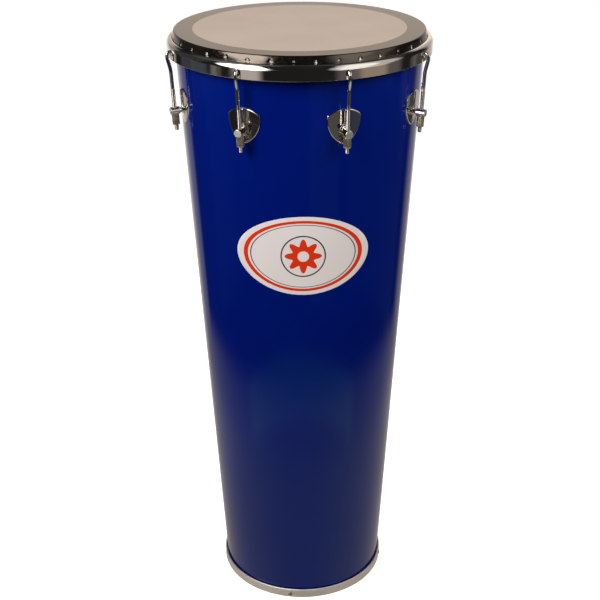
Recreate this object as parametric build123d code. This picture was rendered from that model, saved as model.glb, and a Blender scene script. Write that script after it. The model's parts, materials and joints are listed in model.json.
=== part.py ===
from build123d import *
import math
import os

# Tall tapered hand drum (timbal), 90 cm by 14 inch, standing on its narrow open end.
# Millimetres, +Z up along the drum's axis, origin at the centre of the bottom hoop's lower face,
# front towards -Y. Heights are measured from the floor.

# Shell: an eight millimetre plywood cone with a thin glossy laminate skin.
HEIGHT = 900.0
FOOT_RADIUS = 127.4           # outside of the laminate, extended to the floor
TAPER = 0.0563                # growth of the radius for each millimetre of height
SHELL_FOOT = 2.0              # the shell stands on the bottom hoop's lip
LAMINATE = 0.8
LAMINATE_TOP = 865.0
SEAM_GAP = 0.4                # where the laminate's two ends meet, at the back
WOOD = 8.0
BEARING_TOP = 899.6
BEARING_ROUND = 3.0           # outer round-over of the bearing edge
BEARING_CREST = 1.0           # flat left between the round-over and the inner bevel
BEARING_BEVEL = 4.0

# Bottom hoop: a thin metal band that stands off the shell by a dark gap, with an inward lip under
# the shell, held by four small tacks.
BAND_OUTER = 131.9
BAND_INNER = 130.2
BAND_HEIGHT = 15.0
LIP_INNER = 118.0
TACK_COUNT = 4
FIRST_TACK = -8.9             # degrees from the front, positive towards +X
TACK_HEIGHT = 6.5
TACK_SHANK = 0.9              # radii
TACK_HEAD = 3.0
TACK_LENGTH = 11.0

# Badge: a thin oval sticker on the front.
BADGE_HEIGHT = 616.0
BADGE_TURN = 1.2
BADGE_HALF_WIDTH = 92.0
BADGE_HALF_TALL = 60.0
BADGE_THICK = 0.25

# Head: film bent over the bearing edge, its edge locked with resin in an aluminium channel.
FILM = 0.35
FILM_RADIUS = 178.2
FILM_BEND = 2.4
COLLAR_RADIUS = 179.5         # the film's collar widens a little towards its foot
COLLAR_FOOT = 889.6
PATCH_RADIUS = 151.0
PATCH = 0.2
CHANNEL_INNER = 178.9
CHANNEL_OUTER = 183.2
CHANNEL_WALL = 0.7
CHANNEL_FOOT = 880.5
CHANNEL_INNER_TOP = 886.6
CHANNEL_OUTER_TOP = 887.5
FILM_TUCK = 180.6             # outside of the film where it goes down in the channel
FILM_END = 882.0

# Counterhoop: pressed ring with a straight skirt and a round shoulder.
HOOP_OUTER = 188.3
HOOP_WALL = 1.5
HOOP_FOOT = 869.0
HOOP_TOP = 890.0
SHOULDER = 8.0
HOOK_HOLE_RADIUS = 4.5
HOOK_HOLE_HEIGHT = 877.6

# Lugs: eight plates with posts, all the way round.
LUG_COUNT = 8
FIRST_LUG = -70.4
LUG_HEIGHT = 797.5            # height of the post's axis at the shell's surface
PLATE = 1.6
PLATE_HALF_WIDTH = 23.2
PLATE_CORNER_UP = 21.5        # the four sizes here are measured from the post's axis
PLATE_TOP_UP = 29.5
PLATE_FOOT_DOWN = 20.5
PLATE_BULGE = 8.0
RIB_RADIUS = 2.65
RIB_SINK = 1.0                # how far the rib's centre lies outside the shell
RIB_START_UP = 5.2
FLANGE_RADIUS = 5.0
FLANGE_END = 3.6              # distances out from the shell's surface
NECK_RADIUS = 3.8
NECK_END = 6.5
BARREL_RADIUS = 5.4
BARREL_END = 20.2
BARREL_EDGE = 0.9
ROD_OUT = 13.5
ROD_HOLE_RADIUS = 3.3
SCREW_RADIUS = 2.5
SCREW_END = 8.5
SCREW_HEAD_RADIUS = 4.8
SCREW_HEAD = 3.2
WASHER_RADIUS = 7.0
WASHER = 1.2
WASHER_STANDS_OFF = 0.17      # a flat washer bridges the hollow inner wall

# Hook rods and nuts (M6 by 1).
WIRE_RADIUS = 2.6
THREAD_RADIUS = 3.0
ROD_FOOT = 768.5
THREAD_TOP = 828.0
BEND_START = 850.0
LEG_RADIUS_AT = 193.2         # distance of the outer leg from the drum's axis
BEND_END = 871.5
BEND_ROUND = 28.0
LOOP_TOP = 879.1
LOOP_ROUND = 3.8
LOOP_FLAT = 0.2
TIP_DROP = 2.4
NUT_ACROSS = 9.5
NUT_LENGTH = 14.0
NUT_BORE_RADIUS = 3.05
NUT_COLLAR_RADIUS = 5.3
NUT_COLLAR = 1.4
NUT_GAP = 0.15                # between the nut and the post's barrel

TILT = math.degrees(math.atan(TAPER))
LUG_TURNS = [FIRST_LUG + 360.0 / LUG_COUNT * step for step in range(LUG_COUNT)]
TACK_TURNS = [FIRST_TACK + 360.0 / TACK_COUNT * step for step in range(TACK_COUNT)]

# The upright plane through the drum's axis and its front: x is the radius and y the height.
SECTION = Plane((0, 0, 0), x_dir=(0, -1, 0), z_dir=(-1, 0, 0))


def skin(height):
    """Radius of the laminate's outside at a height."""
    return FOOT_RADIUS + TAPER * height


def ring(points, rounds=()):
    """A solid of revolution from a closed outline of (radius, height) points; rounds pairs corners with radii."""
    outline = make_face(Polyline(*points, close=True))
    for (radius, height), rounding in rounds:
        corner = outline.vertices().sort_by_distance((radius, height, 0))[0]
        outline = fillet(corner, rounding)
    return revolve(SECTION * outline, Axis.Z)


def cone_ring(inset, outset, low, high):
    """A band that follows the shell, from inset to outset of the laminate's outside, measured level."""
    return ring([
        (skin(low) + inset, low), (skin(low) + outset, low),
        (skin(high) + outset, high), (skin(high) + inset, high),
    ])


def at_lug(turn=0.0):
    """Local frame on the shell at a post's foot: -Y straight out of the surface and +Z up along the shell."""
    return Rot(0, 0, turn) * Pos(0, -skin(LUG_HEIGHT), LUG_HEIGHT) * Rot(TILT, 0, 0)


def outward(radius, start, end):
    """A cylinder along the local outward direction, between two distances from the surface."""
    return Pos(0, -start, 0) * Rot(90, 0, 0) * Cylinder(
        radius, end - start, align=(Align.CENTER, Align.CENTER, Align.MIN)
    )


def around(shape, turns):
    return [Rot(0, 0, turn) * shape for turn in turns]


def screw_holes(radius):
    inside = -(WOOD + LAMINATE + 2.0)
    return around(at_lug() * outward(radius, inside, PLATE + 1.0), LUG_TURNS)


def tack_holes():
    start = BAND_OUTER - TACK_LENGTH
    hole = Pos(0, -start, TACK_HEIGHT) * Rot(90, 0, 0) * Cylinder(
        TACK_SHANK, TACK_LENGTH, align=(Align.CENTER, Align.CENTER, Align.MIN)
    )
    return around(hole, TACK_TURNS)


def shell_wood():
    inset = -LAMINATE
    outer_top = skin(BEARING_TOP) + inset
    inner_top = outer_top - WOOD
    bevel_height = BEARING_TOP - BEARING_BEVEL
    bevel_radius = outer_top - BEARING_ROUND - BEARING_CREST
    inner_radius = skin(bevel_height) + inset - WOOD
    body = ring(
        [
            (skin(SHELL_FOOT) + inset - WOOD, SHELL_FOOT),
            (skin(SHELL_FOOT) + inset, SHELL_FOOT),
            (outer_top, BEARING_TOP),
            (bevel_radius, BEARING_TOP),
            (inner_radius, bevel_height - (bevel_radius - inner_top - BEARING_BEVEL)),
        ],
        [((outer_top, BEARING_TOP), BEARING_ROUND)],
    )
    return body - screw_holes(SCREW_RADIUS + 0.25) - tack_holes()


def shell_laminate():
    band = cone_ring(-LAMINATE, 0.0, SHELL_FOOT, LAMINATE_TOP)
    seam = Pos(0, FOOT_RADIUS + 25.0, HEIGHT / 2) * Box(SEAM_GAP, 60.0, HEIGHT)
    return band - screw_holes(SCREW_RADIUS + 0.25) - tack_holes() - seam


def bottom_hoop():
    band = ring(
        [
            (LIP_INNER, 0.0), (BAND_OUTER, 0.0), (BAND_OUTER, BAND_HEIGHT),
            (BAND_INNER, BAND_HEIGHT), (BAND_INNER, SHELL_FOOT), (LIP_INNER, SHELL_FOOT),
        ],
        [((BAND_OUTER, 0.0), 0.8), ((BAND_OUTER, BAND_HEIGHT), 0.5)],
    )
    return band - tack_holes()


def bottom_hoop_tacks():
    head = ring(
        [(0.0, 0.0), (TACK_HEAD, 0.0), (TACK_HEAD, 0.5), (0.9, 1.3), (0.0, 1.3)],
    )
    shank = Cylinder(TACK_SHANK, TACK_LENGTH - 0.5, align=(Align.CENTER, Align.CENTER, Align.MAX))
    tack = Pos(0, -BAND_OUTER, TACK_HEIGHT) * Rot(90, 0, 0) * (head + shank)
    return Compound(around(tack, TACK_TURNS))


def badge():
    oval = Plane.XZ * (Pos(0, BADGE_HEIGHT) * Ellipse(BADGE_HALF_WIDTH, BADGE_HALF_TALL))
    low = BADGE_HEIGHT - BADGE_HALF_TALL - 5.0
    high = BADGE_HEIGHT + BADGE_HALF_TALL + 5.0
    sticker = extrude(oval, 2 * FOOT_RADIUS) & cone_ring(0.0, BADGE_THICK, low, high)
    return Rot(0, 0, BADGE_TURN) * sticker


def head_film():
    inner = FILM_RADIUS - FILM
    tuck_inner = FILM_TUCK - FILM
    return ring(
        [
            (0.0, HEIGHT), (FILM_RADIUS, HEIGHT),
            (COLLAR_RADIUS, COLLAR_FOOT), (FILM_TUCK, CHANNEL_INNER_TOP + 0.75),
            (FILM_TUCK, FILM_END), (tuck_inner, FILM_END),
            (tuck_inner, CHANNEL_INNER_TOP + 0.57), (COLLAR_RADIUS - FILM, COLLAR_FOOT - 0.18),
            (inner, HEIGHT - FILM), (0.0, HEIGHT - FILM),
        ],
        [((FILM_RADIUS, HEIGHT), FILM_BEND), ((inner, HEIGHT - FILM), FILM_BEND - FILM)],
    )


def head_patch():
    top = HEIGHT - FILM
    return ring([(0.0, top - PATCH), (PATCH_RADIUS, top - PATCH), (PATCH_RADIUS, top), (0.0, top)])


def flesh_hoop():
    floor = CHANNEL_FOOT + CHANNEL_WALL
    return ring(
        [
            (CHANNEL_INNER, CHANNEL_FOOT), (CHANNEL_OUTER, CHANNEL_FOOT),
            (CHANNEL_OUTER, CHANNEL_OUTER_TOP), (CHANNEL_OUTER - CHANNEL_WALL, CHANNEL_OUTER_TOP),
            (CHANNEL_OUTER - CHANNEL_WALL, floor), (CHANNEL_INNER + CHANNEL_WALL, floor),
            (CHANNEL_INNER + CHANNEL_WALL, CHANNEL_INNER_TOP), (CHANNEL_INNER, CHANNEL_INNER_TOP),
        ],
        [((CHANNEL_OUTER, CHANNEL_FOOT), 1.0), ((CHANNEL_INNER, CHANNEL_FOOT), 1.0)],
    )


def head_resin(film):
    floor = CHANNEL_FOOT + CHANNEL_WALL
    inner = CHANNEL_INNER + CHANNEL_WALL
    outer = CHANNEL_OUTER - CHANNEL_WALL
    level = CHANNEL_INNER_TOP - 0.3
    return ring([(inner, floor), (outer, floor), (outer, level), (inner, level)]) - film


def counterhoop():
    inside = HOOP_OUTER - HOOP_WALL
    edge = HOOP_OUTER - SHOULDER
    shoulder_height = HOOP_TOP - SHOULDER
    # The shoulder is two concentric quarter circles from the skirt to the top's inner edge.
    outline = make_face([
        Line((inside, HOOP_FOOT), (HOOP_OUTER, HOOP_FOOT)),
        Line((HOOP_OUTER, HOOP_FOOT), (HOOP_OUTER, shoulder_height)),
        CenterArc((edge, shoulder_height), SHOULDER, 0, 90),
        Line((edge, HOOP_TOP), (edge, HOOP_TOP - HOOP_WALL)),
        CenterArc((edge, shoulder_height), SHOULDER - HOOP_WALL, 0, 90),
        Line((inside, shoulder_height), (inside, HOOP_FOOT)),
    ])
    for corner, rounding in (
        ((inside, HOOP_FOOT), 0.3), ((HOOP_OUTER, HOOP_FOOT), 0.3),
        ((edge, HOOP_TOP), 0.65), ((edge, HOOP_TOP - HOOP_WALL), 0.65),
    ):
        outline = fillet(outline.vertices().sort_by_distance((*corner, 0))[0], rounding)
    band = revolve(SECTION * outline, Axis.Z)
    hole = Pos(0, -inside + 5.0, HOOK_HOLE_HEIGHT) * Rot(90, 0, 0) * Cylinder(
        HOOK_HOLE_RADIUS, 15.0, align=(Align.CENTER, Align.CENTER, Align.MIN)
    )
    return band - around(hole, LUG_TURNS)


def lug_plate():
    # Shield outline: shallow arc on top, two bulging sides that meet in a blunt point.
    corner = (PLATE_HALF_WIDTH, PLATE_CORNER_UP)
    foot = (0.0, -PLATE_FOOT_DOWN)
    side = math.hypot(corner[0] - foot[0], corner[1] - foot[1])
    out_x = (corner[1] - foot[1]) / side * PLATE_BULGE
    out_y = (foot[0] - corner[0]) / side * PLATE_BULGE
    middle = ((corner[0] + foot[0]) / 2 + out_x, (corner[1] + foot[1]) / 2 + out_y)
    outline = make_face([
        ThreePointArc((-corner[0], corner[1]), (0.0, PLATE_TOP_UP), corner),
        ThreePointArc(corner, middle, foot),
        ThreePointArc(foot, (-middle[0], middle[1]), (-corner[0], corner[1])),
    ])
    for point, rounding in ((foot, 6.0), (corner, 1.2), ((-corner[0], corner[1]), 1.2)):
        outline = fillet(outline.vertices().sort_by_distance((*point, 0))[0], rounding)
    shield = at_lug() * extrude(Plane.XZ * outline, amount=25.0, both=True)
    low = LUG_HEIGHT - PLATE_FOOT_DOWN - 5.0
    high = LUG_HEIGHT + PLATE_TOP_UP + 5.0
    sheet = cone_ring(0.0, PLATE, low, high) & shield
    # Pressed upright rib from the top edge down to the post.
    rib_top = PLATE_TOP_UP - 1.0
    rib = Pos(0, -RIB_SINK, RIB_START_UP) * Cylinder(
        RIB_RADIUS, rib_top - RIB_START_UP, align=(Align.CENTER, Align.CENTER, Align.MIN)
    )
    rib = fillet(rib.edges().group_by(Axis.Z)[0], 1.5)
    rib = fillet(rib.edges().group_by(Axis.Z)[-1], 0.6)
    rib = at_lug() * rib - cone_ring(-5.0, 0.3, low, high)
    return sheet + rib - at_lug() * outward(SCREW_RADIUS + 0.25, -5.0, 10.0)


def lug_post():
    post = (
        outward(FLANGE_RADIUS, PLATE, FLANGE_END)
        + outward(NECK_RADIUS, FLANGE_END, NECK_END)
        + fillet(outward(BARREL_RADIUS, NECK_END, BARREL_END).edges(), BARREL_EDGE)
    )
    rod_hole = Pos(0, -ROD_OUT, 0) * Cylinder(ROD_HOLE_RADIUS, 4 * BARREL_RADIUS)
    # The flange's back follows the curved plate that it is brazed to.
    seat = cone_ring(-12.0, PLATE, LUG_HEIGHT - 15.0, LUG_HEIGHT + 15.0)
    blank = at_lug() * (post + outward(FLANGE_RADIUS, PLATE - 1.0, PLATE) - rod_hole) - seat
    return blank - at_lug() * outward(SCREW_RADIUS, -2.0, SCREW_END)


def lug_screw():
    seat = -(WOOD + LAMINATE + WASHER_STANDS_OFF + WASHER)
    head = fillet(
        outward(SCREW_HEAD_RADIUS, seat - SCREW_HEAD, seat).edges().sort_by(Axis.Y)[-1], 1.5
    )
    slot = Pos(0, -seat + SCREW_HEAD, 0) * Box(1.2, 2.4, 20.0)
    return at_lug() * (head - slot + outward(SCREW_RADIUS, seat, SCREW_END - 0.5))


def lug_washer():
    seat = -(WOOD + LAMINATE + WASHER_STANDS_OFF)
    return at_lug() * (
        outward(WASHER_RADIUS, seat - WASHER, seat) - outward(SCREW_RADIUS + 0.15, seat - 5.0, 5.0)
    )


def rod_radius(height):
    """Distance of the rod's straight part from the drum's axis at a height."""
    tilt = math.radians(TILT)
    foot_radius = skin(LUG_HEIGHT) + ROD_OUT * math.cos(tilt)
    foot_height = LUG_HEIGHT - ROD_OUT * math.sin(tilt)
    return foot_radius + TAPER * (height - foot_height)


def hook_rod():
    loop_end = LEG_RADIUS_AT - LOOP_ROUND - LOOP_FLAT - LOOP_ROUND * math.tan(math.radians(22.5))
    path = SECTION * FilletPolyline(
        (rod_radius(THREAD_TOP), THREAD_TOP),
        (rod_radius(BEND_START), BEND_START),
        (LEG_RADIUS_AT, BEND_END),
        (LEG_RADIUS_AT, LOOP_TOP),
        (loop_end, LOOP_TOP),
        (loop_end - TIP_DROP, LOOP_TOP - TIP_DROP),
        radius=[BEND_ROUND, BEND_ROUND, LOOP_ROUND, LOOP_ROUND],
    )
    start = Plane(origin=path @ 0, z_dir=path % 0)
    wire = sweep(start * Circle(WIRE_RADIUS), path)
    thread_length = (THREAD_TOP - ROD_FOOT) / math.cos(math.radians(TILT))
    thread = start * Cylinder(
        THREAD_RADIUS, thread_length, align=(Align.CENTER, Align.CENTER, Align.MAX)
    )
    tip = thread.edges().group_by(Axis.Z)[0]
    thread = fillet(tip, 1.2)
    thread = chamfer(thread.edges().group_by(Axis.Z)[-1], 0.35)
    return thread + wire


def nut():
    top = -(BARREL_RADIUS + NUT_GAP)
    hexagon = RegularPolygon(NUT_ACROSS / 2, 6, major_radius=False)
    body = Pos(0, 0, top - NUT_LENGTH) * extrude(hexagon, amount=NUT_LENGTH)
    collar = Pos(0, 0, top - NUT_LENGTH) * Cylinder(
        NUT_COLLAR_RADIUS, NUT_COLLAR, align=(Align.CENTER, Align.CENTER, Align.MIN)
    )
    # Turned on a lathe, so the hexagon's upper corners are cut by a cone.
    envelope = Pos(0, 0, top - NUT_LENGTH) * chamfer(
        Cylinder(
            NUT_ACROSS / math.sqrt(3) + 0.05, NUT_LENGTH, align=(Align.CENTER, Align.CENTER, Align.MIN)
        ).edges().sort_by(Axis.Z)[-1],
        0.9,
    )
    bore = Pos(0, 0, top) * Cylinder(NUT_BORE_RADIUS, 3 * NUT_LENGTH)
    blank = (body & envelope) + collar - bore
    return at_lug() * Pos(0, -ROD_OUT, 0) * blank


def save(name, shape):
    shape.label = name
    export_step(shape, f"parts/{name}.step")


def main():
    os.makedirs("parts", exist_ok=True)
    film = head_film()
    save("shell_wood", shell_wood())
    save("shell_laminate", shell_laminate())
    save("bottom_hoop", bottom_hoop())
    save("bottom_hoop_tacks", bottom_hoop_tacks())
    save("badge", badge())
    save("head_film", film)
    save("head_patch", head_patch())
    save("flesh_hoop", flesh_hoop())
    save("head_resin", head_resin(film))
    save("counterhoop", counterhoop())
    save("lug_screws", Compound(around(lug_screw(), LUG_TURNS)))
    save("lug_washers", Compound(around(lug_washer(), LUG_TURNS)))
    per_lug = {"lug_plate": lug_plate(), "lug_post": lug_post(), "hook_rod": hook_rod(), "nut": nut()}
    for name, shape in per_lug.items():
        for number, turn in enumerate(LUG_TURNS, start=1):
            save(f"{name}_{number}", Rot(0, 0, turn) * shape)


main()
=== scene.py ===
import json
import math

import bpy
from mathutils import Matrix, Vector


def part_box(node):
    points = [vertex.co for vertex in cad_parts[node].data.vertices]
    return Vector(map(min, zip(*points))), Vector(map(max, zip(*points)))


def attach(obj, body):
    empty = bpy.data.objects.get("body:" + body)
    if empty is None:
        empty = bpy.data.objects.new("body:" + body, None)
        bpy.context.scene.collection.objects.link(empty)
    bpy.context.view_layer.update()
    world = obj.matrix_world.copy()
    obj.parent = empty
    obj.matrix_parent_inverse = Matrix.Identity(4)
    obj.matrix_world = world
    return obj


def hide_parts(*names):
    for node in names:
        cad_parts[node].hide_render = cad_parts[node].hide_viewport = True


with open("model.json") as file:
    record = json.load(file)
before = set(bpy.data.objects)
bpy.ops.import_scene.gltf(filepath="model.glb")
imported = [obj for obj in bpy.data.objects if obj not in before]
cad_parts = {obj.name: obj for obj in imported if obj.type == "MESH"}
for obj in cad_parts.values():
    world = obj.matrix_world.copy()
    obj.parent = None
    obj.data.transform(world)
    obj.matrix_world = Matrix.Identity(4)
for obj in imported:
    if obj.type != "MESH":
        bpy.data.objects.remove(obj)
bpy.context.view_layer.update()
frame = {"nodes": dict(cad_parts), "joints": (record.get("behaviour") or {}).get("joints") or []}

MM = 0.001
LUGS = range(1, 9)

# ---------------------------------------------------------------------------
# Sizes in millimetres, worked out from the frame where it holds them
# ---------------------------------------------------------------------------


def node_box(name):
    """Lowest and highest corner of a CAD node, in millimetres."""
    low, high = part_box(name)
    return low / MM, high / MM


def joint(name):
    return next(j for j in frame["joints"] if j["name"] == name)


HEIGHT = node_box("head_film")[1].z
SKIN_LOW, SKIN_HIGH = node_box("shell_laminate")
SKIN_TOP = SKIN_HIGH.z
LAMINATE = 0.8                # thickness of the skin
ROD_AXIS = Vector(joint("nut_1_spin")["axis"])
ROD_POINT = Vector(joint("nut_1_spin")["pos_m"]) / MM
ROD_RADIUS = math.hypot(ROD_POINT.x, ROD_POINT.y)
ROD_HEIGHT = ROD_POINT.z
ROD_OUT = 13.5                # from the shell's surface to the rod's axis
# The rods lean as the shell does, so their axis gives the shell's taper.
TAPER = math.hypot(ROD_AXIS.x, ROD_AXIS.y) / ROD_AXIS.z
FOOT_RADIUS = SKIN_HIGH.x - TAPER * SKIN_TOP
BARREL = 5.4                  # radius of a post
POST_END = 20.2               # from the shell's surface to a post's end face
PATCH_RADIUS = node_box("head_patch")[1].x
BADGE_HALF_WIDE = 92.0


def skin(height):
    """Radius of the laminate's outside at a height."""
    return FOOT_RADIUS + TAPER * height


def turn_of(number):
    """Degrees of a lug from the front, positive towards +X."""
    place = joint(f"nut_{number}_spin")["pos_m"]
    return math.degrees(math.atan2(place[0], -place[1]))


# ---------------------------------------------------------------------------
# Node helpers
# ---------------------------------------------------------------------------

class Nodes:
    """Short names for building a node tree."""

    def __init__(self, tree):
        self.tree = tree
        tree.nodes.clear()

    def add(self, kind, **values):
        node = self.tree.nodes.new(kind)
        for name, value in values.items():
            setattr(node, name, value)
        return node

    def feed(self, value, socket):
        if isinstance(value, bpy.types.NodeSocket):
            self.tree.links.new(value, socket)
        elif hasattr(value, "__len__") and len(value) == 3 and socket.type == "RGBA":
            socket.default_value = (*value, 1.0)
        else:
            socket.default_value = value

    def math(self, operation, a, b=0.0):
        node = self.add("ShaderNodeMath", operation=operation)
        self.feed(a, node.inputs[0])
        self.feed(b, node.inputs[1])
        return node.outputs[0]

    def product(self, *values):
        result = values[0]
        for value in values[1:]:
            result = self.math("MULTIPLY", result, value)
        return result

    def length(self, x, y):
        """Length of the vector (x, y)."""
        return self.math("SQRT", self.math("ADD", self.product(x, x), self.product(y, y)))

    def step(self, value, low, high, to_low=0.0, to_high=1.0):
        """Smooth step from to_low, at low, to to_high, at high."""
        node = self.add("ShaderNodeMapRange", interpolation_type="SMOOTHSTEP")
        if low > high:
            low, high, to_low, to_high = high, low, to_high, to_low
        self.feed(value, node.inputs["Value"])
        ends = {"From Min": low, "From Max": high, "To Min": to_low, "To Max": to_high}
        for name, number in ends.items():
            node.inputs[name].default_value = number
        return node.outputs[0]

    def window(self, value, low, high, soft):
        """One between low and high, falling smoothly to zero outside."""
        rise = self.step(value, low - soft, low)
        fall = self.step(value, high + soft, high)
        return self.math("MULTIPLY", rise, fall)

    def ramp(self, value, stops):
        node = self.add("ShaderNodeValToRGB")
        elements = node.color_ramp.elements
        while len(elements) < len(stops):
            elements.new(0.5)
        for element, (place, color) in zip(elements, stops):
            element.position = place
            element.color = (*color, 1.0)
        self.feed(value, node.inputs[0])
        return node.outputs[0]

    def mix(self, factor, a, b, blend="MIX"):
        node = self.add("ShaderNodeMix", data_type="RGBA", blend_type=blend)
        self.feed(factor, node.inputs["Factor"])
        self.feed(a, node.inputs[6])
        self.feed(b, node.inputs[7])
        return node.outputs[2]

    def place(self):
        """Position in the object's own frame, in metres."""
        return self.add("ShaderNodeTexCoord").outputs["Object"]

    def parts(self, vector):
        node = self.add("ShaderNodeSeparateXYZ")
        self.feed(vector, node.inputs[0])
        return node.outputs

    def vector(self, x, y, z):
        node = self.add("ShaderNodeCombineXYZ")
        for value, socket in zip((x, y, z), node.inputs):
            self.feed(value, socket)
        return node.outputs[0]

    def round_drum(self):
        """Angle from the front in radians, distance from the axis and height, both in metres."""
        x, y, z = self.parts(self.place())
        angle = self.math("ARCTAN2", x, self.math("MULTIPLY", y, -1.0))
        return angle, self.length(x, y), z

    def noise(self, vector, scale, detail=3.0, roughness=0.5):
        node = self.add("ShaderNodeTexNoise")
        self.feed(vector, node.inputs["Vector"])
        node.inputs["Scale"].default_value = scale
        node.inputs["Detail"].default_value = detail
        node.inputs["Roughness"].default_value = roughness
        return node.outputs[0]

    def bump(self, height, strength, distance):
        node = self.add("ShaderNodeBump")
        node.inputs["Strength"].default_value = strength
        node.inputs["Distance"].default_value = distance
        self.feed(height, node.inputs["Height"])
        return node.outputs[0]


def surface(name, color, roughness=0.5, metallic=0.0, build=None, **sockets):
    """A Principled material. build(n) returns the sockets that vary over the surface."""
    material = bpy.data.materials.new(name)
    material.use_nodes = True
    n = Nodes(material.node_tree)
    shader = n.add("ShaderNodeBsdfPrincipled")
    output = n.add("ShaderNodeOutputMaterial")
    n.feed(shader.outputs[0], output.inputs[0])
    n.feed(color, shader.inputs["Base Color"])
    shader.inputs["Roughness"].default_value = roughness
    shader.inputs["Metallic"].default_value = metallic
    for key, value in sockets.items():
        shader.inputs[key.replace("_", " ")].default_value = value
    if build is not None:
        for key, value in build(n).items():
            n.feed(value, shader.inputs[key])
    return material


# ---------------------------------------------------------------------------
# Camera and studio
# ---------------------------------------------------------------------------

SENSOR = 36.0                         # millimetres, as the lens is
LENS = 71.2
CAMERA_PLACE = (0.0, -1.6788, 1.2594)
CAMERA_DOWN = 25.08                   # degrees below level
CAMERA_TURN = 0.057
CAMERA_ROLL = -0.331


def add_camera():
    """The photograph's view: from the front, and looking down at the head."""
    data = bpy.data.cameras.new("camera")
    data.sensor_width = SENSOR
    data.lens = LENS
    camera = bpy.data.objects.new("camera", data)
    bpy.context.scene.collection.objects.link(camera)
    pitch = Matrix.Rotation(math.radians(90.0 - CAMERA_DOWN), 4, "X")
    turn = Matrix.Rotation(math.radians(CAMERA_TURN), 4, "Z")
    roll = Matrix.Rotation(math.radians(CAMERA_ROLL), 4, "Z")
    camera.matrix_world = Matrix.Translation(CAMERA_PLACE) @ turn @ pitch @ roll
    bpy.context.scene.camera = camera


# What shiny surfaces see is drawn by compass direction, in degrees from the front and positive towards
# +X, and by elevation, in degrees above level.
DARK_ROOM = (0.014, 0.013, 0.012)
PAPER = (0.41, 0.36, 0.33)            # the white floor near the drum
WALL = (0.95, 0.86, 0.79)             # the pale room behind the drum
WARM_WALL = (0.95, 0.78, 0.64)        # its lit middle, which the film's top reflects
# Soft-edged panels: azimuth from, to and softness, elevation from, to and softness, colour.
PANELS = [
    # High up at the sides
    (-175.0, -112.0, 12.0, 42.0, 72.0, 10.0, (0.035, 0.034, 0.032)),
    (-128.0, -94.0, 8.0, -6.0, 78.0, 6.0, (0.025, 0.025, 0.024)),
    (86.0, 112.0, 8.0, 38.0, 80.0, 8.0, (0.05, 0.048, 0.045)),
    (118.0, 175.0, 12.0, 42.0, 72.0, 10.0, (0.03, 0.029, 0.027)),
    # Just below level, where the counterhoop's skirt shows them as upright bars
    (-119.0, -106.0, 5.0, -18.0, -8.0, 2.0, (0.03, 0.032, 0.045)),
    (-102.0, -88.0, 5.0, -18.0, -8.0, 2.0, (0.035, 0.05, 0.06)),
    (-80.0, -76.0, 2.5, -18.0, -8.0, 2.0, (0.06, 0.07, 0.07)),
    (-78.0, -72.0, 4.0, -18.0, -8.0, 2.0, (0.07, 0.06, 0.05)),
    (-54.0, -38.0, 9.0, -18.5, -8.0, 0.8, (0.46, 0.4, 0.37)),
    (36.0, 90.0, 9.0, -18.0, 0.0, 2.0, (0.09, 0.08, 0.075)),
    (57.0, 74.0, 9.0, -18.0, 0.0, 2.0, (0.2, 0.14, 0.09)),
    (110.0, 115.0, 4.0, -18.0, 0.0, 2.0, (0.06, 0.056, 0.052)),
    (114.0, 132.0, 3.0, -18.0, 0.0, 2.0, (0.045, 0.04, 0.035)),
    # Low down, and a green-blue line along the paper's far edge
    (-98.0, -74.0, 6.0, -28.0, -19.0, 2.0, (0.02, 0.03, 0.045)),
    (12.0, 36.0, 6.0, -30.0, -20.0, 2.0, (0.06, 0.057, 0.053)),
    (52.0, 120.0, 8.0, -28.5, -19.0, 2.0, (0.02, 0.03, 0.045)),
    (-60.0, 60.0, 15.0, -36.8, -34.6, 0.8, (0.08, 0.22, 0.18)),
]
# The softboxes as leaning ellipses: azimuth, half width, elevation, half height, lean, falloff, colour.
SOFTBOXES = [
    (-54.0, 27.0, 28.0, 39.0, -0.35, 2.0, (5.0, 4.7, 4.4)),
    (-108.0, 30.0, 66.0, 18.0, 0.0, 1.0, (0.16, 0.16, 0.16)),
    (52.0, 25.0, 30.0, 39.0, 0.35, 1.0, (0.6, 0.58, 0.55)),
    (70.0, 35.0, 30.0, 41.0, 0.35, 1.0, (0.5, 0.46, 0.42)),
]
# The light that falls on matt surfaces from all round, near level and from above.
SOFT_LOW, SOFT_HIGH = (0.15, 0.15, 0.15), (0.5, 0.5, 0.5)


def mirrored_paper(n, around, rise):
    """The white paper. Its far edge is straight, so it looks higher to the sides than in front."""
    edge_reach, edge_rise = 130.0, 7.5
    sideways = n.math("DIVIDE", around, edge_reach)
    below_edge = n.math("SUBTRACT", rise, n.product(sideways, sideways, edge_rise))
    edge = n.step(below_edge, -35.0, -37.6)
    near_edge = n.step(below_edge, -37.0, -41.0, 0.65, 1.0)
    to_sides = n.step(around, 10.0, 70.0, 1.0, 1.22)
    under_drum = n.step(rise, -60.0, -80.0, 1.0, 0.4)
    light = n.product(edge, near_edge, to_sides, under_drum)
    return n.mix(1.0, n.vector(light, light, light), PAPER, "MULTIPLY")


def softbox_mask(n, azimuth, rise, middle, half_wide, rise_middle, half_tall, lean, falloff):
    """One inside a leaning ellipse, and zero well outside it."""
    up = n.math("SUBTRACT", rise, rise_middle)
    across = n.math("SUBTRACT", n.math("SUBTRACT", azimuth, middle), n.math("MULTIPLY", up, lean))
    across = n.math("DIVIDE", across, half_wide)
    up = n.math("DIVIDE", up, half_tall)
    far = n.math("ADD", n.product(across, across), n.product(up, up))
    return n.math("POWER", n.step(far, 1.2, 0.5), falloff)


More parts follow.
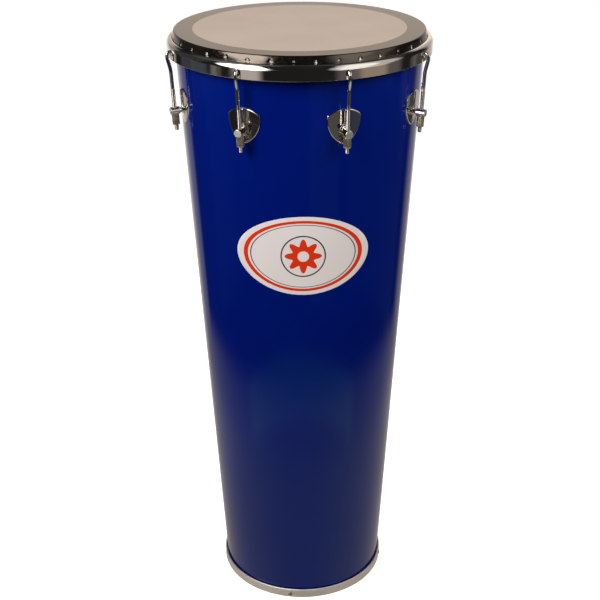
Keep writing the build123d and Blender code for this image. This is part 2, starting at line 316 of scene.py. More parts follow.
def mirrored_walls(n, azimuth, around, rise):
    """The room behind the drum: a pale wall to each side, in two steps, and the lit middle."""
    near, far = n.step(azimuth, -129.0, -137.0, 0.0, 0.5), n.step(azimuth, -140.0, -162.0, 0.0, 0.55)
    lit = n.product(n.step(rise, -6.0, 8.0, 1.0, 0.55), n.step(rise, 26.0, 16.0))
    left = n.product(n.math("ADD", near, far), lit)
    near, far = n.step(azimuth, 130.0, 146.0, 0.0, 0.5), n.step(azimuth, 150.0, 166.0, 0.0, 0.5)
    right = n.product(n.math("ADD", near, far), n.step(rise, 36.0, 28.0))
    low_down = n.step(rise, -46.0, -12.0, 0.42, 1.0)
    sides = n.math("MULTIPLY", n.math("ADD", left, right), low_down)
    middle = n.math("MULTIPLY", n.step(around, 162.0, 171.0), n.window(rise, 4.0, 22.0, 6.0))
    light = n.math("MAXIMUM", sides, middle)
    return n.mix(1.0, n.mix(middle, WALL, WARM_WALL), n.vector(light, light, light), "MULTIPLY")


def add_world():
    """Soft light from all round, and for reflections a studio of panels, paper, softboxes and walls."""
    world = bpy.data.worlds.new("studio")
    bpy.context.scene.world = world
    world.use_nodes = True
    n = Nodes(world.node_tree)
    x, y, z = n.parts(n.add("ShaderNodeTexCoord").outputs["Generated"])
    azimuth = n.math("DEGREES", n.math("ARCTAN2", x, n.math("MULTIPLY", y, -1.0)))
    around = n.math("ABSOLUTE", azimuth)
    rise = n.math("DEGREES", n.math("ARCSINE", z))
    mirrored = DARK_ROOM
    for left, right, side_soft, low, high, edge_soft, color in PANELS:
        mask = n.product(n.window(azimuth, left, right, side_soft), n.window(rise, low, high, edge_soft))
        mirrored = n.mix(mask, mirrored, color, "ADD")
    mirrored = n.mix(1.0, mirrored, mirrored_paper(n, around, rise), "ADD")
    for *ellipse, color in SOFTBOXES:
        mirrored = n.mix(softbox_mask(n, azimuth, rise, *ellipse), mirrored, color, "ADD")
    mirrored = n.mix(1.0, mirrored, mirrored_walls(n, azimuth, around, rise), "LIGHTEN")
    path = n.add("ShaderNodeLightPath")
    soft_light = n.mix(n.step(rise, 25.0, 70.0), SOFT_LOW, SOFT_HIGH)
    color = n.mix(path.outputs["Is Glossy Ray"], soft_light, mirrored)
    color = n.mix(path.outputs["Is Camera Ray"], color, (1.0, 1.0, 1.0))
    background = n.add("ShaderNodeBackground")
    output = n.add("ShaderNodeOutputWorld")
    n.feed(color, background.inputs["Color"])
    n.feed(background.outputs[0], output.inputs[0])


def add_key(name, azimuth, rise, energy, color=(1.0, 1.0, 1.0)):
    """A large soft lamp aimed at the drum's upper half. Reflections show SOFTBOXES instead."""
    target = Vector((0.0, 0.0, 0.8))
    distance, size = 1.5, 0.9
    turn, tip = math.radians(azimuth), math.radians(rise)
    away = Vector((math.cos(tip) * math.sin(turn), -math.cos(tip) * math.cos(turn), math.sin(tip)))
    data = bpy.data.lights.new(name, "AREA")
    data.shape = "DISK"
    data.size = size
    data.energy = energy
    data.color = color
    light = bpy.data.objects.new(name, data)
    bpy.context.scene.collection.objects.link(light)
    light.location = target + distance * away
    light.rotation_euler = (-away).to_track_quat("-Z", "Y").to_euler()
    light.visible_glossy = False


def add_floor():
    """White paper that glows, so only a faint shadow shows under the drum."""
    paper = surface("floor_paper", (0.85, 0.85, 0.85), roughness=0.9,
                    Emission_Color=(1.0, 1.0, 1.0, 1.0), Emission_Strength=0.72)
    half = 30.0
    corners = [(-half, -half, 0.0), (half, -half, 0.0), (half, half, 0.0), (-half, half, 0.0)]
    mesh = bpy.data.meshes.new("floor")
    mesh.from_pydata(corners, [], [(0, 1, 2, 3)])
    mesh.materials.append(paper)
    floor = bpy.data.objects.new("floor", mesh)
    bpy.context.scene.collection.objects.link(floor)
    floor.visible_glossy = False
    floor.visible_diffuse = False


def add_studio():
    """World, floor, two lamps in front and a weak one behind."""
    bpy.context.scene.view_settings.view_transform = "Standard"
    add_world()
    add_floor()
    add_key("key_left", -48.0, 32.0, 27.5)
    add_key("key_right", 60.0, 32.0, 21.0, (1.0, 0.97, 0.93))
    add_key("fill_back", 176.0, 3.0, 11.0)


# ---------------------------------------------------------------------------
# Mesh helpers; outlines are in millimetres, meshes in metres
# ---------------------------------------------------------------------------

def make_object(name, points, faces, material, sharp=35.0):
    mesh = bpy.data.meshes.new(name)
    mesh.from_pydata([tuple(c * MM for c in point) for point in points], [], faces)
    mesh.validate()
    mesh.shade_smooth()
    mesh.set_sharp_from_angle(angle=math.radians(sharp))
    mesh.materials.append(material)
    piece = bpy.data.objects.new(name, mesh)
    bpy.context.scene.collection.objects.link(piece)
    return piece


def arc(center, radius, start, end, steps=6):
    """Points on an arc in the (radius, height) plane, in degrees from straight outwards."""
    points = []
    for step in range(steps + 1):
        angle = math.radians(start + (end - start) * step / steps)
        points.append((center[0] + radius * math.cos(angle), center[1] + radius * math.sin(angle)))
    return points


def grid_faces(rows, columns, close_rows, close_columns):
    """Four-sided faces between neighbouring rows and columns of points."""
    faces = []
    for row in range(rows if close_rows else rows - 1):
        for column in range(columns if close_columns else columns - 1):
            here = row * columns
            above = (row + 1) % rows * columns
            right = (column + 1) % columns
            faces.append((here + column, here + right, above + right, above + column))
    return faces


def lathe(outline, segments, radius_at=None):
    """Points and faces of a closed (radius, height) outline turned round the axis.

    Faces look outwards where the outline runs counter-clockwise, with the radius to the right.
    radius_at(radius, height, angle) may change a point's radius.
    """
    points = []
    for radius, height in outline:
        for segment in range(segments):
            angle = 2 * math.pi * segment / segments
            level = radius if radius_at is None else radius_at(radius, height, angle)
            points.append((level * math.cos(angle), level * math.sin(angle), height))
    return points, grid_faces(len(outline), segments, True, True)


def between(value, low, high):
    """The value's share of the way from low to high, kept between 0 and 1."""
    return min(1.0, max(0.0, (value - low) / (high - low)))


# ---------------------------------------------------------------------------
# Materials; each ..._nodes function gives the sockets that vary over a surface
# ---------------------------------------------------------------------------

CHROME = (0.82, 0.8, 0.77)
BLACK_INK = (0.01, 0.01, 0.01)
BADGE_PAPER = (0.755, 0.685, 0.66)
BADGE_RED = (0.7, 0.03, 0.002)


def laminate_nodes(n):
    """Glossy blue with slow waves and a fine grain."""
    waves = n.noise(n.place(), 6.0, detail=2.0)
    grain = n.noise(n.place(), 260.0, detail=2.0)
    relief = n.math("ADD", n.math("MULTIPLY", waves, 0.6), n.math("MULTIPLY", grain, 0.02))
    return {
        "Base Color": n.mix(n.step(waves, 0.3, 0.7), (0.0, 0.006, 0.128), (0.0, 0.0075, 0.145)),
        "Roughness": n.step(grain, 0.3, 0.8, 0.05, 0.1),
        "Normal": n.bump(relief, 0.12, 0.002),
    }


def smeared(n):
    """Roughness of chrome with faint smears."""
    return n.step(n.noise(n.place(), 35.0, detail=4.0), 0.35, 0.75, 0.045, 0.13)


def chrome_nodes(n):
    return {"Roughness": smeared(n)}


def post_nodes(n):
    """Chrome, with the post's end face left as turned, so that it scatters more light."""
    _, level, height = n.round_drum()
    out = n.math("SUBTRACT", level, n.math("MULTIPLY", height, TAPER))
    end_face = FOOT_RADIUS + POST_END
    face = n.step(out, (end_face - 0.35) * MM, (end_face - 0.2) * MM)
    return {"Roughness": n.mix(face, smeared(n), (0.42, 0.42, 0.42))}


def satin_nodes(n):
    """Brushed round the drum, with smears."""
    angle, _, height = n.round_drum()
    along = n.vector(n.math("MULTIPLY", angle, 3.0), 0.0, n.math("MULTIPLY", height, 900.0))
    lines = n.noise(along, 2.0, 4.0)
    smear = n.noise(n.place(), 22.0, detail=5.0)
    return {
        "Base Color": n.mix(n.step(smear, 0.3, 0.75), (0.82, 0.74, 0.66), (0.9, 0.82, 0.74)),
        "Roughness": n.step(lines, 0.3, 0.7, 0.34, 0.5),
        "Normal": n.bump(lines, 0.15, 0.0002),
    }


def nut_nodes(n):
    """Bright metal with patches of brown dirt."""
    dirt = n.noise(n.place(), 120.0, detail=3.0)
    return {
        "Base Color": n.mix(n.step(dirt, 0.35, 0.7), (0.46, 0.39, 0.27), (0.72, 0.64, 0.49)),
        "Roughness": n.step(dirt, 0.3, 0.7, 0.16, 0.28),
    }


def film_with_painted_shade_nodes(n):
    """Cloudy over the patch, and black and glossier outside it: painted shade for the drum's shaded inside
    seen through the clear film, over the black bearing edge.
    """
    _, level, _ = n.round_drum()
    cloud = n.noise(n.place(), 9.0, detail=4.0)
    over_patch = n.mix(n.step(cloud, 0.3, 0.7), (0.24, 0.195, 0.16), (0.27, 0.22, 0.18))
    inside, outside = (PATCH_RADIUS - 0.4) * MM, (PATCH_RADIUS + 0.4) * MM
    return {
        # Outside the patch the film is painted black: painted shade for the drum's shaded inside under the
        # clear film, over the black bearing edge.
        "Base Color": n.mix(n.step(level, inside, outside), over_patch, (0.004, 0.0035, 0.003)),
        "Roughness": n.step(level, inside, outside, 0.2, 0.08),
    }


def collar_nodes(n):
    """Black film with upright creases in the gloss."""
    angle, _, height = n.round_drum()
    along = n.vector(n.math("MULTIPLY", angle, 9.0), 0.0, n.math("MULTIPLY", height, 90.0))
    crease = n.noise(along, 4.0, 3.0)
    return {
        "Base Color": n.mix(n.step(crease, 0.4, 0.7), (0.003, 0.0026, 0.0022), (0.007, 0.006, 0.005)),
        "Roughness": n.step(crease, 0.35, 0.65, 0.08, 0.18),
    }


def pinch_glint_nodes(n):
    """Pale mark in each pinch: a painted highlight that stands for the bright glint the pinch catches."""
    grain = n.noise(n.place(), 400.0, detail=2.0)
    return {"Base Color": n.mix(n.step(grain, 0.35, 0.65), (0.14, 0.12, 0.1), (0.56, 0.52, 0.47))}


def wood_nodes(n):
    """Bent plywood, painted black outside above the laminate and over the bearing edge."""
    angle, level, height = n.round_drum()
    scales = ((angle, 12.0), (level, 8.0), (height, 1.6))
    stretched = [n.math("MULTIPLY", part, scale) for part, scale in scales]
    grain = n.noise(n.vector(*stretched), 9.0, detail=6.0, roughness=0.6)
    fiber_place = n.vector(n.math("MULTIPLY", angle, 90.0), 0.0, n.math("MULTIPLY", height, 5.0))
    fiber = n.noise(fiber_place, 8.0, 3.0)
    bare = n.ramp(grain, [(0.3, (0.36, 0.22, 0.11)), (0.55, (0.52, 0.35, 0.19)), (0.75, (0.6, 0.43, 0.26))])
    bare = n.mix(n.step(fiber, 0.45, 0.7, 0.0, 0.35), bare, (0.3, 0.18, 0.09))
    out = n.math("SUBTRACT", level, n.math("MULTIPLY", height, TAPER))
    is_outside = n.step(out, (FOOT_RADIUS - 6.5) * MM, (FOOT_RADIUS - 6.0) * MM)
    above_laminate = n.step(height, 0.858, 0.86)
    bearing_edge = n.step(height, 0.893, 0.8945)
    painted = n.math("MAXIMUM", n.math("MULTIPLY", is_outside, above_laminate), bearing_edge)
    return {
        "Base Color": n.mix(painted, bare, (0.008, 0.008, 0.008)),
        "Roughness": n.step(painted, 0.0, 1.0, 0.6, 0.35),
        "Normal": n.bump(fiber, 0.25, 0.0005),
    }


def badge_nodes(n):
    """White paper with a red band and a thin black line round the edge, and a ringed red rosette."""
    across, up, _ = n.parts(n.add("ShaderNodeUVMap", uv_map="print").outputs[0])
    far = n.length(across, up)
    half_tall = 60.0
    x = n.math("MULTIPLY", across, BADGE_HALF_WIDE)
    y = n.math("MULTIPLY", up, half_tall)
    reach = n.length(x, y)
    petals = n.math("COSINE", n.math("MULTIPLY", n.math("ARCTAN2", y, x), 8.0))
    petal_reach, petal_depth = 21.0, 5.0
    rim = n.math("ADD", petal_reach, n.math("MULTIPLY", petals, petal_depth))
    rosette = n.step(n.math("SUBTRACT", reach, rim), 0.5, -0.5)
    heart = n.step(reach, 8.5, 7.5)
    color = n.mix(n.window(far, 0.84, 0.9, 0.006), BADGE_PAPER, BADGE_RED)
    color = n.mix(n.window(far, 0.79, 0.8, 0.006), color, BLACK_INK)
    color = n.mix(rosette, color, BADGE_RED)
    color = n.mix(n.window(reach, 30.0, 31.5, 0.4), color, BLACK_INK)
    return {"Base Color": n.mix(heart, color, BADGE_PAPER)}


def make_materials():
    """All materials by a short name."""
    return {
        "laminate": surface("blue_laminate", (0.0, 0.007, 0.135), roughness=0.07, build=laminate_nodes,
                            IOR=1.42, Specular_Tint=(0.65, 1.0, 1.0, 1.0)),
        "chrome": surface("chrome", CHROME, metallic=1.0, build=chrome_nodes),
        "post": surface("chrome_post", CHROME, metallic=1.0, build=post_nodes),
        "thread": surface("rod_thread", (0.62, 0.59, 0.56), roughness=0.2, metallic=1.0),
        "band": surface("satin_band", (0.65, 0.6, 0.55), roughness=0.4, metallic=0.7, build=satin_nodes),
        "tack": surface("tack_brass", (0.42, 0.31, 0.14), roughness=0.4, metallic=1.0),
        "nut": surface("nut_metal", (0.5, 0.44, 0.33), metallic=0.85, build=nut_nodes),
        "film": surface("head_film", (0.2, 0.2, 0.2), roughness=0.1, build=film_with_painted_shade_nodes, IOR=1.58),
        "collar": surface("film_collar", (0.004, 0.0035, 0.003), roughness=0.15, build=collar_nodes,
                          IOR=1.62, Specular_IOR_Level=1.0, Specular_Tint=(1.0, 0.86, 0.76, 1.0)),
        # Pale painted highlight for the pinches in the collar.
        "painted_glint": surface("film_pinch_highlight_paint", (0.5, 0.46, 0.42), roughness=0.3, build=pinch_glint_nodes, IOR=1.5),
        "patch": surface("patch_ply", (0.55, 0.47, 0.38), roughness=0.5),
        "channel": surface("channel_aluminium", (0.7, 0.69, 0.67), roughness=0.35, metallic=1.0),
        "resin": surface("resin", (0.05, 0.045, 0.04), roughness=0.4),
        "zinc": surface("zinc_steel", (0.6, 0.6, 0.58), roughness=0.3, metallic=1.0),
        "wood": surface("shell_plywood", (0.5, 0.33, 0.18), roughness=0.6, build=wood_nodes),
        "badge": surface("badge_print", (0.86, 0.85, 0.83), roughness=0.3, build=badge_nodes, IOR=1.45),
    }


# ---------------------------------------------------------------------------
# Pieces
# ---------------------------------------------------------------------------

def add_skin(look):
    """The laminate skin, with its seam at the back."""
    low = SKIN_LOW.z
    edge_round, foot_edge, seam_half = 0.25, 0.3, 0.1
    rows, segments = 24, 480
    heights = [low, low + foot_edge]
    heights += [low + (SKIN_TOP - low) * row / rows for row in range(1, rows)]
    heights += [SKIN_TOP - 2.0, SKIN_TOP - 0.6]
    outline = [(skin(low) - LAMINATE, low)] + [(skin(height), height) for height in heights]
    outline += arc((skin(SKIN_TOP) - edge_round, SKIN_TOP - edge_round), edge_round, 0, 90, 4)
    outline += [(skin(SKIN_TOP) - LAMINATE, SKIN_TOP)]
    seam = seam_half / FOOT_RADIUS
    points = []
    for radius, height in outline:
        for segment in range(segments + 1):
            angle = math.pi / 2 + seam + (2 * math.pi - 2 * seam) * segment / segments
            points.append((radius * math.cos(angle), radius * math.sin(angle), height))
    faces = grid_faces(len(outline), segments + 1, True, False)
    start = tuple(row * (segments + 1) for row in range(len(outline)))
    faces += [tuple(reversed(start)), tuple(index + segments for index in start)]
    piece = make_object("laminate_skin", points, faces, look)
    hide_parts("shell_laminate")
    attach(piece, "shell")


# The film's top bends down at FILM_RADIUS, and its collar runs to a foot in the flesh hoop's channel.
FILM_RADIUS = 177.9
FLAT_RADIUS = 176.5           # the film is flat and smooth up to here
FILM_BEND = 2.4
FILM_THICK = 0.35
COLLAR_RADIUS, COLLAR_FOOT = 179.9, 889.6
COLLAR_LEAN = math.atan((COLLAR_RADIUS - FILM_RADIUS) / (HEIGHT - COLLAR_FOOT))
COLLAR_BULGE = 0.25
BEND_RADIUS = FILM_RADIUS - FILM_BEND * math.tan(math.pi / 4 - COLLAR_LEAN / 2)
BEND_CENTER = (BEND_RADIUS, HEIGHT - FILM_BEND)
# Pinches, where the film is gathered; the widths are in degrees round the drum.
PINCHES = 36
STEPS_PER_PINCH = 24
PINCH_SHIFT = -1.9
PINCH_HEIGHT = 892.7
PINCH_DEPTH = 1.25
PINCH_WIDTH = 0.72
REACH_BELOW, REACH_ABOVE = 1.5, 2.6
# Size of the pale painted highlight in each pinch.
GLINT_WIDTH = 0.42
GLINT_REACH = 2.3
WAVES = ((0.05, 9, 0.0), (0.035, 23, 1.0), (0.02, 61, 0.0))      # size, count round the drum, phase


def film_outline():
    """The film's outline as (radius, height) points, clockwise, and the height where its bend ends."""
    tuck, tuck_top, tuck_foot = node_box("head_film")[1].x, 887.35, 882.0
    rings = [0.5] + [PATCH_RADIUS * ring / 8 for ring in range(1, 9)]
    rings += [160.0, 168.0, 174.5, BEND_RADIUS - 0.3]
    outline = [(radius, HEIGHT) for radius in rings]
    outline += arc(BEND_CENTER, FILM_BEND, 90, math.degrees(COLLAR_LEAN), 8)
    top_radius, top = outline[-1]
    rows = 18
    collar = []
    for row in range(1, rows + 1):
        share = row / rows
        bulge = COLLAR_BULGE * math.sin(math.pi * share ** 0.8)
        radius = top_radius + (COLLAR_RADIUS - top_radius) * share + bulge
        collar.append((radius, top + (COLLAR_FOOT - top) * share))
    outline += collar
    outline += [(tuck, tuck_top), (tuck, tuck_foot), (tuck - FILM_THICK, tuck_foot)]
    outline += [(tuck - FILM_THICK, tuck_top - 0.18)]
    outline += [(radius - FILM_THICK, height) for radius, height in reversed(collar)]
    outline += arc(BEND_CENTER, FILM_BEND - FILM_THICK, math.degrees(COLLAR_LEAN), 90, 8)
    outline += [(radius, HEIGHT - FILM_THICK) for radius in reversed(rings)]
    return outline, top


def in_collar(radius, height):
    """Whether a point of the film lies in the bend or the collar."""
    return radius > FLAT_RADIUS and height > COLLAR_FOOT - 0.1


def pinch_near(angle):
    """Degrees from the nearest pinch, the height of its middle, and its size."""
    turns = angle * PINCHES / (2 * math.pi)
    which = int(turns)
    across = (turns % 1.0 - 0.5) * 360.0 / PINCHES + PINCH_SHIFT + math.sin(which * 5.7)
    return across, PINCH_HEIGHT + 0.5 * math.sin(which * 3.9), 0.7 + 0.3 * math.sin(which * 2.4)


def add_film(look, collar_look, glint_look):
    """The film: flat top, tight bend, and a collar with a small pinch wherever it is gathered."""
    outline, bend_foot = film_outline()

    def pinched(radius, height, angle):
        if not in_collar(radius, height):
            return radius
        across, middle, size = pinch_near(angle)
        below = height < middle
        reach = (height - middle) / (REACH_BELOW if below else REACH_ABOVE)
        narrow = PINCH_WIDTH if below else PINCH_WIDTH / (1.0 + 0.4 * (height - middle))
        wave = sum(tall * math.sin(number * angle + phase) for tall, number, phase in WAVES)
        wave *= between(bend_foot - height, 0.0, 2.0)
        return radius + wave - PINCH_DEPTH * size * math.exp(-reach * reach - (across / narrow) ** 2)

    points, faces = lathe(outline, PINCHES * STEPS_PER_PINCH, pinched)
    piece = make_object("drumhead_film", points, faces, look, sharp=60.0)
    piece.data.materials.append(collar_look)
    piece.data.materials.append(glint_look)
    for face in piece.data.polygons:
        center = face.center / MM
        if in_collar(math.hypot(center.x, center.y), center.z) and center.z < HEIGHT - 0.8:
            across, middle, size = pinch_near(math.atan2(center.y, center.x) % (2 * math.pi))
            # The middle of each pinch gets the pale painted highlight.
            is_glint = abs(across) < GLINT_WIDTH and abs(center.z - middle) < GLINT_REACH * size
            face.material_index = 2 if is_glint else 1
    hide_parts("head_film")
    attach(piece, "shell")


def add_badge(look):
    """A thin oval sticker. Its front follows the shell, and its back is a fan hidden in the wall."""
    low, high = node_box("badge")
    half_tall = (high.z - low.z) / 2
    middle = (high.z + low.z) / 2
    turn = math.radians(1.2)
    thick, edge_drop = 0.25, 0.12
    rings, segments = 24, 128
    points = []
    prints = []

    def add_point(across, up, stand):
        x = BADGE_HALF_WIDE * across
        z = middle + half_tall * up
        radius = skin(z) + stand
        y = -math.sqrt(radius * radius - x * x)
        points.append((x * math.cos(turn) - y * math.sin(turn), x * math.sin(turn) + y * math.cos(turn), z))
        prints.append((across, up))

    rows = [(ring / rings, thick) for ring in range(1, rings)]
    rows += [(0.9985, thick), (1.0, thick - edge_drop), (1.0, 0.0)]
    for share, stand in rows:
        for segment in range(segments):
            angle = 2 * math.pi * segment / segments
            add_point(share * math.cos(angle), share * math.sin(angle), stand)
    front, back = len(points), len(points) + 1
    add_point(0.0, 0.0, thick)
    add_point(0.0, 0.0, 0.0)
    faces = [tuple(reversed(face)) for face in grid_faces(len(rows), segments, False, True)]
    faces += [(front, segment, (segment + 1) % segments) for segment in range(segments)]
    last = (len(rows) - 1) * segments
    faces += [(back, last + (segment + 1) % segments, last + segment) for segment in range(segments)]
    piece = make_object("oval_badge", points, faces, look)
    layer = piece.data.uv_layers.new(name="print")
    for loop in piece.data.loops:
        layer.data[loop.index].uv = prints[loop.vertex_index]
    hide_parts("badge")
    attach(piece, "shell")


def lug_place(number):
    return Matrix.Rotation(math.radians(turn_of(number)), 4, "Z")


def arc_through(start, middle, end, steps):
    """Points on the clockwise arc from start through middle, up to but without end."""
    ax, ay = start
    bx, by = end
    mx, my = middle
    a, m, b = ax**2 + ay**2, mx**2 + my**2, bx**2 + by**2
    twice = 2 * (ax * (my - by) + mx * (by - ay) + bx * (ay - my))
    cx = (a * (my - by) + m * (by - ay) + b * (ay - my)) / twice
    cy = (a * (bx - mx) + m * (ax - bx) + b * (mx - ax)) / twice
    radius = math.hypot(ax - cx, ay - cy)
    first = math.atan2(ay - cy, ax - cx)
    sweep = math.atan2(by - cy, bx - cx) - first
    if sweep > 0:
        sweep -= 2 * math.pi
    angles = [first + sweep * step / steps for step in range(steps)]
    return [(cx + radius * math.cos(angle), cy + radius * math.sin(angle)) for angle in angles]


def averaged(points, index):
    """A point of a closed line, pulled towards its neighbours."""
    before, here, after = points[index - 1], points[index], points[(index + 1) % len(points)]
    return tuple((before[axis] + 2 * here[axis] + after[axis]) / 4 for axis in (0, 1))


def shield_outline(steps):
    """A lug plate's outline, (across, up) from the post's axis, clockwise from the left corner."""
    half, corner_up, top_up, foot_down, bulge = 23.2, 21.5, 29.5, 20.5, 8.0
    tall = corner_up + foot_down
    side = math.hypot(half, tall)
    side_x = half / 2 + tall / side * bulge
    side_y = (corner_up - foot_down) / 2 - half / side * bulge
    left, right, foot = (-half, corner_up), (half, corner_up), (0.0, -foot_down)
    points = arc_through(left, (0.0, top_up), right, steps)
    points += arc_through(right, (side_x, side_y), foot, steps)
    points += arc_through(foot, (-side_x, side_y), left, steps)
    # Averaging rounds the corners a little and the foot more, as on the pressed sheet.
    points = [averaged(points, index) for index in range(len(points))]
    foot_from, foot_rounds = -10.0, 13
    for _ in range(foot_rounds):
        points = [
            averaged(points, index) if point[1] < foot_from else point
            for index, point in enumerate(points)
        ]
    return points


def add_plate(number, look):
    """A pressed shield: rounded edge, fading upright rib, and a raised seat for the post."""
    edge = shield_outline(36)
    rings = 30
    thick, rim, back = 1.6, 0.75, 0.02
    rib_tall, rib_half, rib_foot, rib_top_fade = 2.0, 2.6, 3.0, 0.9
    seat_tall, seat_radius, seat_slope = 0.35, 8.0, 2.5
    edge_drop, edge_from = 0.45, 0.965
    post_height = ROD_HEIGHT + ROD_OUT * math.sin(math.atan(TAPER))
    top_up = max(point[1] for point in edge)

    def stand(x, up, share):
        """Height of the front above the shell."""
        rib = math.exp(-((x / rib_half) ** 4)) * between(up, rib_foot, 2 * rib_foot)
        rib *= between(top_up - up, 0.0, rib_top_fade) ** 0.5
        seat = seat_tall / (1.0 + math.exp((math.hypot(x, up) - seat_radius) * seat_slope))
        drop = edge_drop * between(share, edge_from, 1.0) ** 2
        return thick + rib_tall * rib + seat - drop

    def on_shell(x, up, out):
        z = post_height + up
        radius = skin(z) + out
        return (x, -math.sqrt(radius * radius - x * x), z)

    shares = [(ring / rings) ** 0.8 for ring in range(1, rings)] + [0.985, 0.995, 1.0]
    center_up = 3.0
    points = []
    for share in shares:
        for x, up in edge:
            px, pu = x * share, center_up + (up - center_up) * share
            points.append(on_shell(px, pu, stand(px, pu, share)))
    for out in (rim, back):
        points += [on_shell(x, up, out) for x, up in edge]
    size = len(edge)
    faces = grid_faces(len(shares) + 2, size, False, True)
    center = len(points)
    points.append(on_shell(0.0, center_up, stand(0.0, center_up, 0.0)))
    faces += [(center, column, (column + 1) % size) for column in range(size)]
    last = (len(shares) + 1) * size
    faces.append(tuple(last + column for column in reversed(range(size))))
    faces = [tuple(reversed(face)) for face in faces]
    piece = make_object(f"pressed_plate_{number}", points, faces, look, sharp=40.0)
    piece.data.transform(lug_place(number))
    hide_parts(f"lug_plate_{number}")
    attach(piece, "shell")


WIRE = 2.6                    # radius of a hook rod
THREAD_TOP = 828.0
THREAD_PITCH = 1.0


def rod_radius(height):
    """Distance of a straight rod's axis from the drum's axis at a height."""
    return ROD_RADIUS + TAPER * (height - ROD_HEIGHT)


def rod_path():
    """Centreline of a hook rod above its thread, as (radius, height) points."""
    leg, loop, loop_top = 193.2, 3.8, 879.1
    bend_low, bend_high = 851.5, loop_top - loop
    points = [(rod_radius(height), height) for height in (THREAD_TOP, 836.0, bend_low)]
    start = rod_radius(bend_low)
    rise = bend_high - bend_low
    steps = 24
    for step in range(1, steps):
        share = step / steps
        ease = share * share * (3 - 2 * share)
        lean = TAPER * rise * share * (1 - share) ** 2
        points.append((start + (leg - start) * ease + lean, bend_low + rise * share))
    points += arc((leg - loop, bend_high), loop, 0, 135, 20)
    return points


def thread_radius(along, angle, length):
    """Radius of the rolled thread: a crest once a turn, a rounded tip, and a run-out into the wire."""
    crest, root = 3.0, 2.45
    tip, tip_radius, tip_round, run_out = 1.4, 1.5, 1.2, 1.2
    wave = abs(((along / THREAD_PITCH - angle / (2 * math.pi)) % 1.0) - 0.5) * 2.0
    radius = crest - (crest - root) * between(wave, 0.12, 0.88)
    if along < tip:
        round_off = math.sqrt(max(0.0, 1.0 - (1.0 - along / tip) ** 2))
        radius = min(radius, tip_radius + tip_round * round_off)
    fade = min(1.0, (length - along) / run_out)
    return radius * fade + WIRE * (1 - fade)


def rod_rows(foot):
    """Rings along a hook rod: place, heading, how far up the thread, and the radius above it.

    Places and headings are (radius, height). A ring on the thread has no radius of its own.
    """
    steps_per_turn = 6
    length = (THREAD_TOP - foot) / math.cos(math.atan(TAPER))
    count = int(length / THREAD_PITCH * steps_per_turn)
    rows = []
    for step in range(count + 1):
        height = foot + (THREAD_TOP - foot) * step / count
        rows.append(((rod_radius(height), height), (TAPER, 1.0), length * step / count, None))
    path = rod_path()
    for index, place in enumerate(path[1:], start=1):
        before, after = path[index - 1], path[min(index + 1, len(path) - 1)]
        rows.append((place, (after[0] - before[0], after[1] - before[1]), None, WIRE))
    # The free end points down and in, and is rounded off.
    end, heading = path[-1], (-1.0, -1.0)
    reach, tip_round, steps = 2.1, 0.9, 5
    for step in range(steps + 1):
        angle = math.pi / 2 * step / steps
        along = (reach - tip_round + tip_round * math.sin(angle)) / math.sqrt(2)
        radius = WIRE - tip_round + tip_round * math.cos(angle)
        rows.append(((end[0] - along, end[1] - along), heading, None, radius))
    return rows, length


def add_rod(number, look, thread_look):
    """A bent wire hook with a real rolled thread and a rounded tip."""
    sides = 24
    foot = node_box(f"hook_rod_{number}")[0].z + 0.15
    rows, length = rod_rows(foot)
    points = []
    for place, heading, along, fixed in rows:
        size = math.hypot(*heading)
        across = (heading[1] / size, -heading[0] / size)
        for side in range(sides):
            angle = 2 * math.pi * side / sides
            radius = fixed if along is None else thread_radius(along, angle, length)
            out = radius * math.cos(angle)
            far, height = place[0] + across[0] * out, place[1] + across[1] * out
            points.append((radius * math.sin(angle), -far, height))
    faces = grid_faces(len(rows), sides, False, True)
    faces.append(tuple(reversed(range(sides))))
    last = (len(rows) - 1) * sides
    faces.append(tuple(last + side for side in range(sides)))
    piece = make_object(f"hook_{number}", points, faces, look, sharp=50.0)
    piece.data.materials.append(thread_look)
    for polygon in piece.data.polygons:
        if polygon.center.z < (THREAD_TOP - 0.5) * MM:
            polygon.material_index = 1
    piece.data.transform(lug_place(number))
    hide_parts(f"hook_rod_{number}")
    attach(piece, f"hook_rod_{number}")


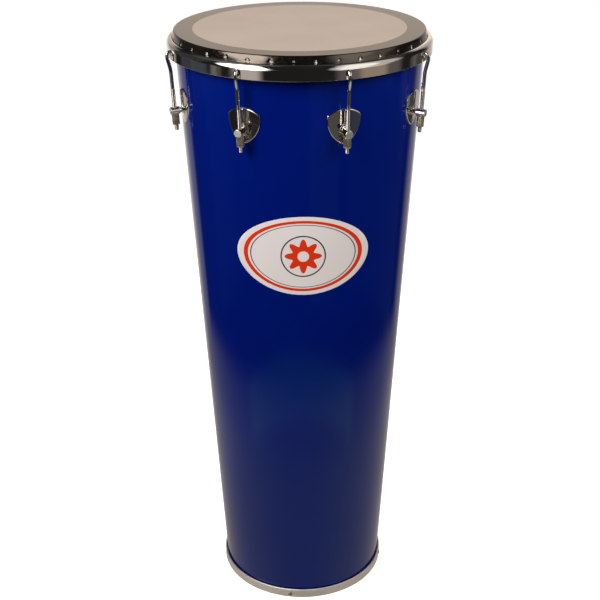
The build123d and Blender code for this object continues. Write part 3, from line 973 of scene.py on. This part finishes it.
def add_nut(number, look):
    """A long hexagonal nut, chamfered on a lathe, with a collar at its foot."""
    flat, corner, length, bore, bore_edge = 4.75, 5.42, 14.0, 3.06, 0.45
    collar, collar_tall = 5.3, 1.4
    face_radius, chamfer_slope = 4.45, 1.7
    hexagon = 9.0             # stands for the hexagon, whose radius is worked out below
    top = -(BARREL + 0.15)
    foot = top - length
    collar_top = foot + collar_tall
    rows = [(bore, foot), (bore + bore_edge, foot), (collar - 0.45, foot), (collar - 0.1, foot + 0.12)]
    rows += [(collar, foot + 0.4), (collar, collar_top - 0.25), (collar - 0.25, collar_top)]
    rows += [(hexagon, collar_top + 0.02), (hexagon, collar_top + 1.0)]
    rows += [(hexagon, top - 2.0 + 0.2 * step) for step in range(10)]
    rows += [(face_radius, top), (bore + bore_edge, top), (bore, top - bore_edge)]

    def hexagonal(radius, height, angle):
        if radius != hexagon:
            return radius
        flat_radius = flat / math.cos((angle + math.pi / 6) % (math.pi / 3) - math.pi / 6)
        chamfer = face_radius + (top - height) * chamfer_slope
        return min(flat_radius, chamfer, corner)

    points, faces = lathe(rows, 96, hexagonal)
    faces = [tuple(reversed(face)) for face in faces]
    piece = make_object(f"long_nut_{number}", points, faces, look, sharp=28.0)
    tilt = Matrix.Rotation(math.atan(TAPER), 4, "X")
    place = Matrix.Translation(Vector((0.0, -ROD_RADIUS, ROD_HEIGHT)) * MM)
    piece.data.transform(lug_place(number) @ place @ tilt)
    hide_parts(f"nut_{number}")
    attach(piece, f"nut_{number}")


def paint_nodes(looks):
    """Materials for the CAD nodes that are shown as they are."""
    shown = {
        "shell_wood": "wood", "bottom_hoop": "band", "bottom_hoop_tacks": "tack", "head_patch": "patch",
        "flesh_hoop": "channel", "head_resin": "resin", "counterhoop": "chrome", "lug_screws": "zinc",
        "lug_washers": "zinc",
    }
    shown.update({f"lug_post_{number}": "post" for number in LUGS})
    for name, look in shown.items():
        for slot in frame["nodes"][name].material_slots:
            slot.material = looks[look]


add_camera()
add_studio()
LOOKS = make_materials()
paint_nodes(LOOKS)
add_skin(LOOKS["laminate"])
add_film(LOOKS["film"], LOOKS["collar"], LOOKS["painted_glint"])
add_badge(LOOKS["badge"])
for lug in LUGS:
    add_plate(lug, LOOKS["chrome"])
    add_rod(lug, LOOKS["chrome"], LOOKS["thread"])
    add_nut(lug, LOOKS["nut"])
